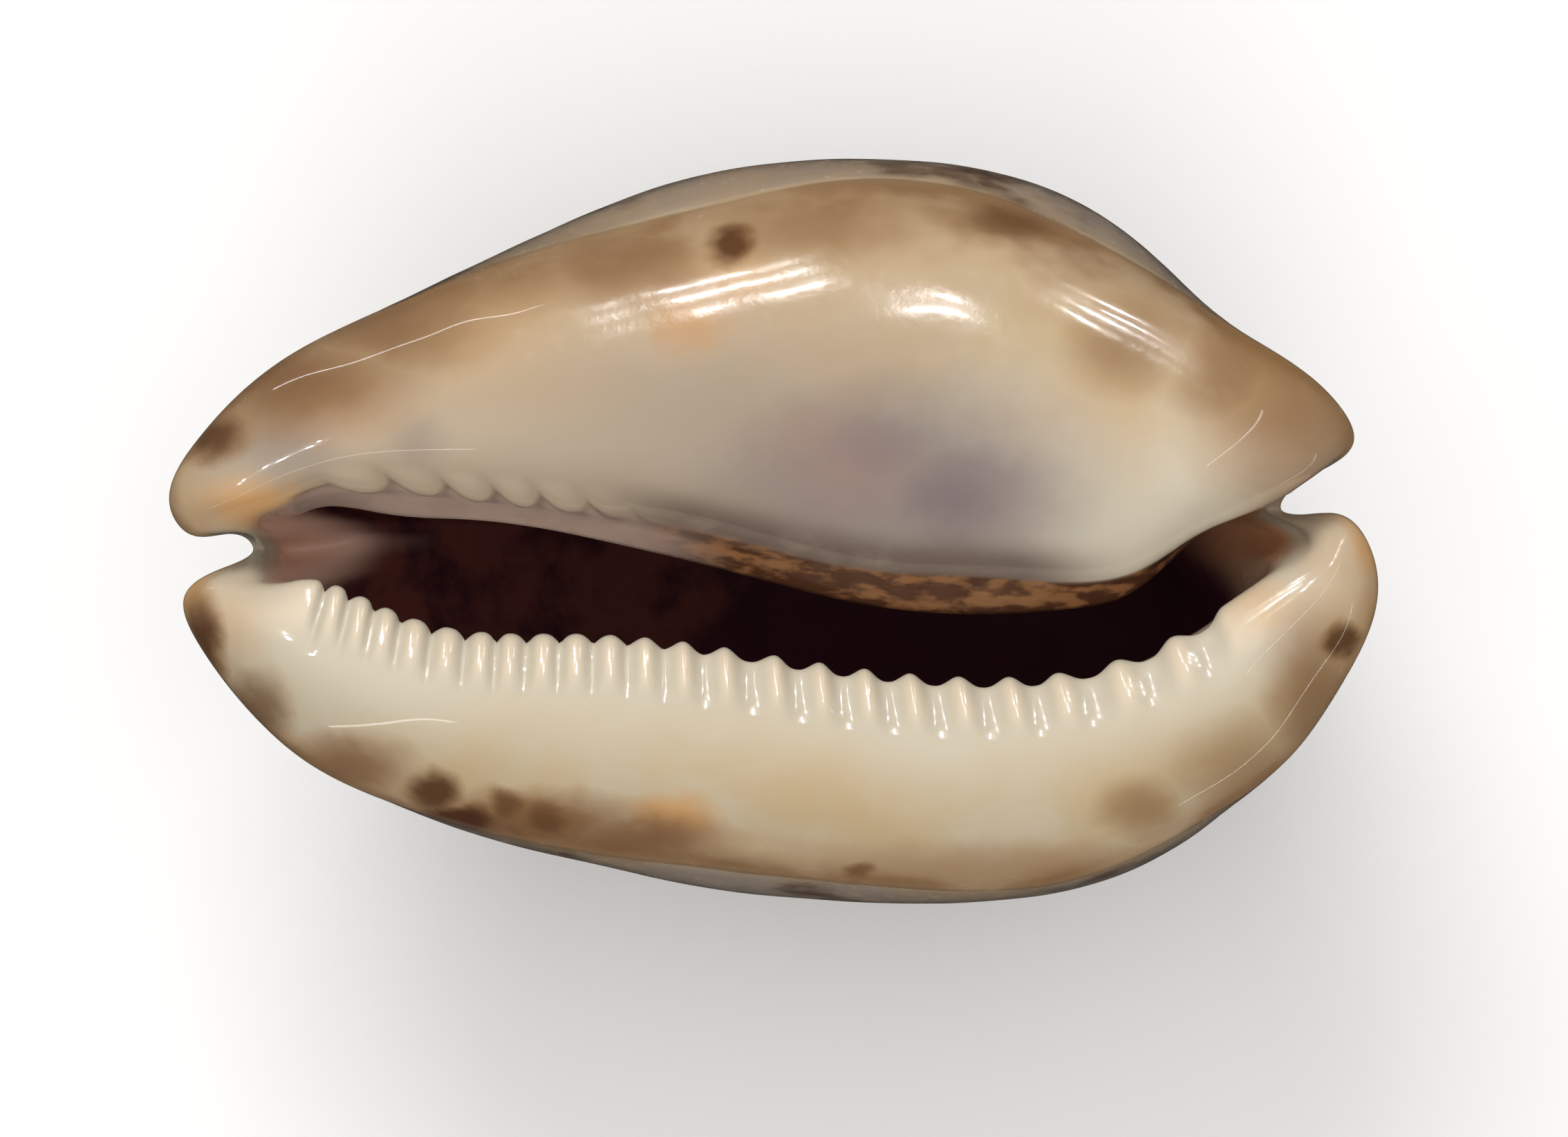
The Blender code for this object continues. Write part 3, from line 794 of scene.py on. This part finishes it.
# %% Start the enamel
enamel = bpy.data.materials.new("cowry_enamel")
enamel.use_nodes = True
tree = enamel.node_tree
shader = tree.nodes["Principled BSDF"]
position = add_node(tree, "ShaderNodeNewGeometry").outputs["Position"]
in_mm = vector_maths(tree, "MULTIPLY", position, (1 / MM, 1 / MM, 1 / MM))
where = vector_maths(tree, "ADD", in_mm, (*REST_CENTRE, 0.0))
WANDER = 1.3
ragged = add_node(tree, "ShaderNodeTexNoise", None, {"Vector": where, "Scale": 0.5, "Detail": 3.0})
wander = vector_maths(tree, "SUBTRACT", ragged.outputs["Color"], (0.5, 0.5, 0.5))
wander = vector_maths(tree, "MULTIPLY", wander, (WANDER, WANDER, WANDER))
ragged_place = vector_maths(tree, "ADD", where, wander)

# %% [markdown]
# The base is cream, paler beside the mouth, and darker on the columella side where painted shade is laid over
# it. Towards the margin it turns to honey and then to tan. A noise is added to that mask, so that the two
# tints don't end in an even band.

# %% Cream base and golden margins
CREAM = (0.465, 0.335, 0.175, 1)
PALE_CREAM = (0.515, 0.46, 0.36, 1)
# The cream made darker, for the painted shade on the columella side.
PAINTED_SHADE_CREAM = (0.37, 0.29, 0.20, 1)
HONEY = (0.46, 0.33, 0.20, 1)
TAN = (0.215, 0.118, 0.052, 1)
colour = blend(tree, drift(tree, where, 0.07, 0.25, 0.8), CREAM, PALE_CREAM)
colour = blend(tree, mask(tree, "near_lip"), colour, PALE_CREAM)
# Painted shade laid over the columella side.
colour = blend(tree, mask(tree, "painted_shade"), colour, PAINTED_SHADE_CREAM)
toward_margin = mask(tree, "toward_margin")
uneven = add_node(tree, "ShaderNodeTexNoise", None, {"Vector": where, "Scale": 0.13, "Detail": 3.0})
uneven_margin = maths(tree, "ADD", toward_margin, ramp(tree, uneven.outputs[0], 0.3, 0.7, -0.2, 0.2))
uneven_margin = maths(tree, "MULTIPLY", uneven_margin, ramp(tree, toward_margin, 0.0, 0.25))
colour = blend(tree, ramp(tree, uneven_margin, 0.1, 0.65), colour, HONEY)
colour = blend(tree, ramp(tree, uneven_margin, 0.5, 1.0), colour, TAN)

# %% [markdown]
# The scoops between the teeth are whitish, the teeth themselves a warm cream, and the grooves of the
# columella brownish. All three are faint, so each mask is weakened before it mixes its tint in.

# %% Tints of the teeth
TOOTH_TINTS = [
    ("scoop", 0.3, (0.64, 0.57, 0.45, 1)),
    ("tooth", 0.5, (0.76, 0.61, 0.44, 1)),
    ("groove", 0.35, (0.30, 0.18, 0.11, 1)),
]
for name, strength, tint in TOOTH_TINTS:
    colour = blend(tree, maths(tree, "MULTIPLY", mask(tree, name), strength), colour, tint)
print("tints on the teeth:", len(TOOTH_TINTS))

# %% [markdown]
# The spots come next. A noise moves each point a little before the spots are measured, which makes their
# edges ragged. Round the brown and umber spots the enamel turns orange-brown before it turns dark, and the
# square root of the spot's own mask gives that wider, warmer edge.

# %% Spots under the enamel
UMBER_TINT = (0.075, 0.026, 0.009, 1)
BROWN_TINT = (0.16, 0.075, 0.033, 1)
ORANGE_TINT = (0.52, 0.27, 0.09, 1)
LILAC_TINT = (0.143, 0.105, 0.108, 1)
REDDISH_TINT = (0.30, 0.17, 0.13, 1)
WARM_EDGE = (0.34, 0.19, 0.080, 1)
cloudy = drift(tree, where, 0.12, -0.1, 0.34)
colour = blend(tree, spots(tree, ragged_place, ORANGE), colour, ORANGE_TINT)
colour = blend(tree, maths(tree, "MULTIPLY", spots(tree, ragged_place, LILAC), cloudy), colour, LILAC_TINT)
colour = blend(tree, spots(tree, ragged_place, REDDISH), colour, REDDISH_TINT)
for spot_list, tint in ((BROWN, BROWN_TINT), (UMBER, UMBER_TINT)):
    stain = spots(tree, ragged_place, spot_list)
    warm_edge = maths(tree, "MULTIPLY", maths(tree, "POWER", stain, 0.5), 0.7)
    colour = blend(tree, warm_edge, colour, WARM_EDGE)
    colour = blend(tree, stain, colour, tint)

# %% [markdown]
# The back is hidden in the photograph, so its colour is a guess from others of this species: tan and cream
# with soft brown clouds, chestnut towards its crown, which the shell rests on, and a pale line where the base
# meets it.

# %% Colours of the back
BACK_TAN = (0.27, 0.215, 0.17, 1)
BACK_CREAM = (0.33, 0.235, 0.15, 1)
BACK_BROWN = (0.060, 0.026, 0.012, 1)
BACK_CHESTNUT = (0.13, 0.058, 0.024, 1)
back_colour = blend(tree, drift(tree, where, 0.10, 0.35, 0.65), BACK_TAN, BACK_CREAM)
back_colour = blend(tree, drift(tree, ragged_place, 0.12, 0.50, 0.72), back_colour, BACK_BROWN)
low_brown = maths(tree, "MULTIPLY", mask(tree, "low_back"), drift(tree, where, 0.07, 0.3, 0.6))
back_colour = blend(tree, low_brown, back_colour, BACK_CHESTNUT)
colour = blend(tree, mask(tree, "back"), colour, back_colour)
CREST_PALE = (0.56, 0.42, 0.27, 1)
colour = blend(tree, maths(tree, "MULTIPLY", mask(tree, "crest_line"), 0.2), colour, CREST_PALE)

# %% [markdown]
# Inside the mouth the colours turn dark fast: a flamed brown face under the columella, a purple-black
# hollow, and lighter reddish canals that lead to the notches. The hollow darkens deeper in, partly by its own
# colour and partly by painted shade, and a band of painted shade lies on the shoulder above the flames.

# %% Colours inside the mouth
FLAME_DARK = (0.075, 0.030, 0.015, 1)
FLAME_LIGHT = (0.245, 0.112, 0.046, 1)
FOSSULA_PALE = (0.37, 0.27, 0.215, 1)
FOSSULA_GREY = (0.33, 0.24, 0.195, 1)
# Painted shade on the columella's shoulder, above the flamed face.
SHOULDER_PAINTED_SHADE = (0.125, 0.085, 0.070, 1)
LIP_FACE_PALE = (0.55, 0.42, 0.31, 1)
# The hollow's own purple-black, made darker still as painted shade.
INSIDE_DARK_AND_SHADE = (0.068, 0.020, 0.029, 1)
INSIDE_RED = (0.19, 0.055, 0.045, 1)
CANAL_RED = (0.58, 0.27, 0.14, 1)
CANAL_PALE = (0.76, 0.47, 0.36, 1)
colour = blend(tree, mask(tree, "inner_face"), colour, LIP_FACE_PALE)
fossula = blend(tree, drift(tree, where, 0.25, 0.42, 0.6), FOSSULA_PALE, FOSSULA_GREY)
colour = blend(tree, mask(tree, "fossula"), colour, fossula)
along_flames = vector_maths(tree, "MULTIPLY", where, (0.42, 0.9, 0.6))
flames = blend(tree, drift(tree, along_flames, 1.0, 0.44, 0.62), FLAME_DARK, FLAME_LIGHT)
# Painted shade on the shoulder, broken up by a drift.
shoulder_painted_shade = maths(tree, "MULTIPLY", mask(tree, "shoulder_painted_shade"), drift(tree, where, 0.2, 0.1, 0.5))
colour = blend(tree, maths(tree, "MULTIPLY", shoulder_painted_shade, 0.85), colour, SHOULDER_PAINTED_SHADE)
colour = blend(tree, mask(tree, "flamed"), colour, flames)
canal_tint = blend(tree, mask(tree, "front"), CANAL_RED, CANAL_PALE)
colour = blend(tree, mask(tree, "canal_red"), colour, canal_tint)
redder_front = ramp(tree, mask(tree, "front"), 0.0, 1.0, 0.1, 1.0)
red_patches = maths(tree, "MULTIPLY", drift(tree, where, 0.2, 0.35, 0.6), redder_front)
inside_colour_and_shade = blend(tree, red_patches, INSIDE_DARK_AND_SHADE, INSIDE_RED)
# Deeper in the mouth the colour darkens: partly the shell's own dark, partly painted shade.
colour = blend(tree, mask(tree, "deep"), colour, inside_colour_and_shade)

# %% [markdown]
# Polish is what makes a cowry. A clear coat gives the sharp reflection of real enamel. The reflection of the
# layer under it is kept faint, because it would put a wide halo round every highlight. Fine scuffs show only
# as small changes of roughness and coat, and as a tiny bump.

# %% Polish and fine scuffs
POLISHED, SCUFFED = 0.16, 0.28
POLISHED_COAT, SCUFFED_COAT = 0.9, 0.65
MATT_INSIDE = 0.35
scuffs = drift(tree, where, 0.9, 0.45, 0.75)
plug(tree, shader.inputs["Base Color"], colour)
matt_inside = maths(tree, "MULTIPLY", mask(tree, "deep"), MATT_INSIDE)
roughness = maths(tree, "ADD", ramp(tree, scuffs, 0.0, 1.0, POLISHED, SCUFFED), matt_inside)
plug(tree, shader.inputs["Roughness"], roughness)
coat = ramp(tree, scuffs, 0.0, 1.0, POLISHED_COAT, SCUFFED_COAT)
coat = maths(tree, "MULTIPLY", coat, ramp(tree, mask(tree, "deep"), 1.0, 0.0))
plug(tree, shader.inputs["Coat Weight"], coat)
shader.inputs["Coat Roughness"].default_value = 0.035
shader.inputs["Coat IOR"].default_value = 1.4
shader.inputs["Specular IOR Level"].default_value = 0.05
shader.inputs["Metallic"].default_value = 0.0
fine = add_node(tree, "ShaderNodeTexNoise", None, {"Vector": where, "Scale": 1.6, "Detail": 5.0})
relief = {"Strength": 0.35, "Distance": 0.03 * MM, "Height": fine.outputs[0]}
bump = add_node(tree, "ShaderNodeBump", None, relief)
plug(tree, shader.inputs["Normal"], bump.outputs["Normal"])
cowry.data.materials.append(enamel)
print("nodes in the enamel:", len(tree.nodes))

# %% [markdown]
# A plain pale floor. It is kept out of reflections, so that the rounded edges mirror the dark of a room below
# the lamps, as the shell in the photograph does.

# %% Floor
FLOOR_SIZE = 1.2
FLOOR_GREY = (0.82, 0.82, 0.82, 1)
bpy.ops.mesh.primitive_plane_add(size=FLOOR_SIZE, location=(0, 0, 0))
floor = bpy.context.object
floor.name = "floor"
paper = bpy.data.materials.new("pale_paper")
paper.use_nodes = True
paper_shader = paper.node_tree.nodes["Principled BSDF"]
paper_shader.inputs["Base Color"].default_value = FLOOR_GREY
paper_shader.inputs["Roughness"].default_value = 0.8
floor.data.materials.append(paper)
floor.visible_glossy = False
print("floor, in metres:", FLOOR_SIZE)

# %% [markdown]
# The photograph looks straight down on the base from far away, with the front of the shell to the left. A
# long lens from most of a metre up repeats that.

# %% Camera
CAMERA_PLACE = (-1.9, -2.5, 788.0)
lens = bpy.data.cameras.new("camera")
lens.lens = 300
lens.sensor_width = 36
lens.clip_start = 0.01
camera = bpy.data.objects.new("camera", lens)
camera.location = np.array(CAMERA_PLACE) * MM
bpy.context.scene.collection.objects.link(camera)
bpy.context.scene.camera = camera
print("camera at, in millimetres:", CAMERA_PLACE)

# %% [markdown]
# Two soft panels light the form and stay out of the reflections, and the sky above them fills the shadows.

# %% Sky and soft panels
SHELL_MIDDLE = Vector((0, 0, 30))
SKY_TINT = (1, 0.985, 0.96, 1)
SKY_LOW, SKY_HIGH = 0.03, 1.35


def strip(name, start, end, width, power, mirrored=True):
    """A flat light from start to end that faces the shell, and either only shows as a reflection or never."""
    start, end = Vector(start), Vector(end)
    middle = (start + end) / 2
    facing = (middle - SHELL_MIDDLE).normalized()
    across = (end - start).cross(facing).normalized()
    light = bpy.data.lights.new(name, "AREA")
    light.shape = "RECTANGLE"
    light.size = (end - start).length * MM
    light.size_y = width * MM
    light.energy = power
    holder = bpy.data.objects.new(name, light)
    holder.location = middle * MM
    holder.rotation_euler = Matrix((facing.cross(across), -across, facing)).transposed().to_euler()
    holder.visible_glossy = mirrored
    holder.visible_diffuse = not mirrored
    bpy.context.scene.collection.objects.link(holder)


world = bpy.data.worlds.new("studio")
world.use_nodes = True
sky = world.node_tree
direction = add_node(sky, "ShaderNodeTexCoord").outputs["Generated"]
upward = add_node(sky, "ShaderNodeSeparateXYZ", None, {"Vector": direction}).outputs["Z"]
plug(sky, sky.nodes["Background"].inputs["Color"], SKY_TINT)
plug(sky, sky.nodes["Background"].inputs["Strength"], ramp(sky, upward, 0.3, 1.0, SKY_LOW, SKY_HIGH))
bpy.context.scene.world = world
strip("key_panel", (-260, 420, 420), (20, 420, 420), 260, 2.2, mirrored=False)
strip("fill_panel", (-150, -420, 260), (150, -420, 260), 200, 0.75, mirrored=False)
bpy.context.scene.view_settings.view_transform = "Standard"

# %% [markdown]
# The small lamps do the opposite: they are only mirrored, as the crisp dots that a glossy shell shows. They
# could be moved about by hand until the dots sit right. It is surer to send a ray from the camera to the
# place of a dot on the base, and to put the lamp where the ray goes once the shell has mirrored it. So the
# list gives places on the base, not in the room.

# %% Lamps placed by their highlights
LAMP_REACH = 480
skin = BVHTree.FromPolygons(
    [point.co for point in cowry.data.vertices], [face.vertices for face in cowry.data.polygons]
)


def mirrored_place(x, y):
    """Where a ray from the camera gets to, in millimetres, after the base has mirrored it at x and y."""
    target = Vector((x - REST_CENTRE[0], y - REST_CENTRE[1], HEIGHT)) * MM
    arriving = (target - camera.location).normalized()
    landing, _, face, _ = skin.ray_cast(camera.location, arriving)
    corners = [cowry.data.vertices[i] for i in cowry.data.polygons[face].vertices]
    shares = poly_3d_calc([corner.co for corner in corners], landing)
    normal = sum((corner.normal * share for corner, share in zip(corners, shares)), Vector())
    leaving = arriving.reflect(normal)
    crossings = intersect_line_sphere(landing, landing + leaving, SHELL_MIDDLE * MM, LAMP_REACH * MM, False)
    return max(crossings, key=leaving.dot) / MM


# Each lamp: its highlight's x and y on the base, the run of its long side, its width and its power in watts.
LAMPS = [
    (-3.1, 14.5, (6, 0, 0), 4, 0.6), (-1.3, 14.2, (5, 0, 0), 6, 0.85), (0.8, 13.7, (4, 0, 0), 7, 0.9),
    (10.0, 13.4, (4, 0, 0), 7, 0.8), (10.0, 12.6, (7, 3, -3), 4, 0.7), (18.5, 12.4, (4, 0, 0), 7, 0.55),
    (17.6, 12.2, (4, 0, 0), 7, 0.55), (19.7, 12.7, (3, 0, 0), 7, 0.25), (20.2, 12.0, (3, 0, 0), 7, 0.25),
    (-27.9, -6.2, (0, 10, 0), 6, 0.2), (-28.1, -5.9, (0, 10, 0), 6, 0.2),
]
for number, (x, y, side, width, power) in enumerate(LAMPS):
    middle = mirrored_place(x, y)
    strip("lamp_%d" % number, middle - Vector(side) / 2, middle + Vector(side) / 2, width, power)
    print("lamp %d stands at:" % number, [round(value) for value in middle])

# %% [markdown]
# Long narrow strips make the thin bright lines along the rounded edges. A line doesn't need to be exact, so
# they are given one by one, about as far away as the lamps. Two of them run on below the floor, because the
# steepest edges mirror what lies low.

# %% Long strips
EDGE_WIDTH, EDGE_POWER = 4, 0.07
EDGE_STRIPS = [
    ((-290, 310, -200), (-130, 460, 75)), ((277, 300, 150), (215, -40, 450)),
    ((471, -64, 99), (238, -386, -126)), ((-280, -390, 40), (-84, -252, 430)),
]
for number, (start, end) in enumerate(EDGE_STRIPS):
    strip("edge_strip_%d" % number, start, end, EDGE_WIDTH, EDGE_POWER)
print("long strips:", len(EDGE_STRIPS))
